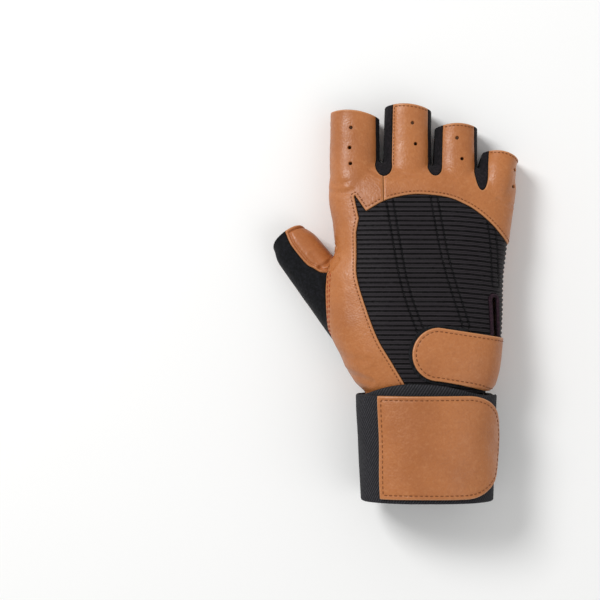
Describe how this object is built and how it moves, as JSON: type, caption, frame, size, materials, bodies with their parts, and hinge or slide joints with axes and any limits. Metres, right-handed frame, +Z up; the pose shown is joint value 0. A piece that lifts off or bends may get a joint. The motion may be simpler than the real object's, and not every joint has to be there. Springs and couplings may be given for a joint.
{
  "type": "weightlifting glove",
  "caption": "Half-finger leather weightlifting glove for the right hand, with a ribbed stretch back, a closure tab and a long elastic wrist wrap, lying on its palm.",
  "frame": {"origin": "middle of the glove's footprint, on the surface that it lies on", "axes": "+Y from the wrist towards the fingertips, +X towards the little-finger side, +Z up through the back of the hand"},
  "size_m": [0.1358, 0.2156, 0.0533],
  "materials": {
    "tan_leather": "satin",
    "palm_leather": "satin",
    "ribbed_stretch": "matt",
    "gusset_stretch": "matt",
    "thumb_cloth": "matt",
    "loop_fabric": "matt",
    "binding_tape": "matt",
    "wrap_elastic": "matt",
    "brown_thread": "matt",
    "brick_thread": "matt",
    "black_thread": "matt"
  },
  "bodies": {
    "root": {"index_back_leather": "tan_leather", "knuckle_yoke": "tan_leather", "index_front": "palm_leather", "middle_front": "palm_leather", "ring_front": "palm_leather", "little_front": "palm_leather", "knuckle_pad": "palm_leather", "palm_panel": "palm_leather", "thenar_band": "palm_leather", "thenar_panel": "palm_leather", "heel_panel": "palm_leather", "thumb_leather": "palm_leather", "closure_tab": "tan_leather", "wrap_tab": "tan_leather", "ribbed_back": "ribbed_stretch", "gusset_index_middle": "gusset_stretch", "gusset_middle_ring": "gusset_stretch", "gusset_ring_little": "gusset_stretch", "thumb_stretch_back": "thumb_cloth", "loop_patch": "loop_fabric", "slit_binding": "binding_tape", "wrist_wrap": "wrap_elastic"}
  },
  "joints": []
}
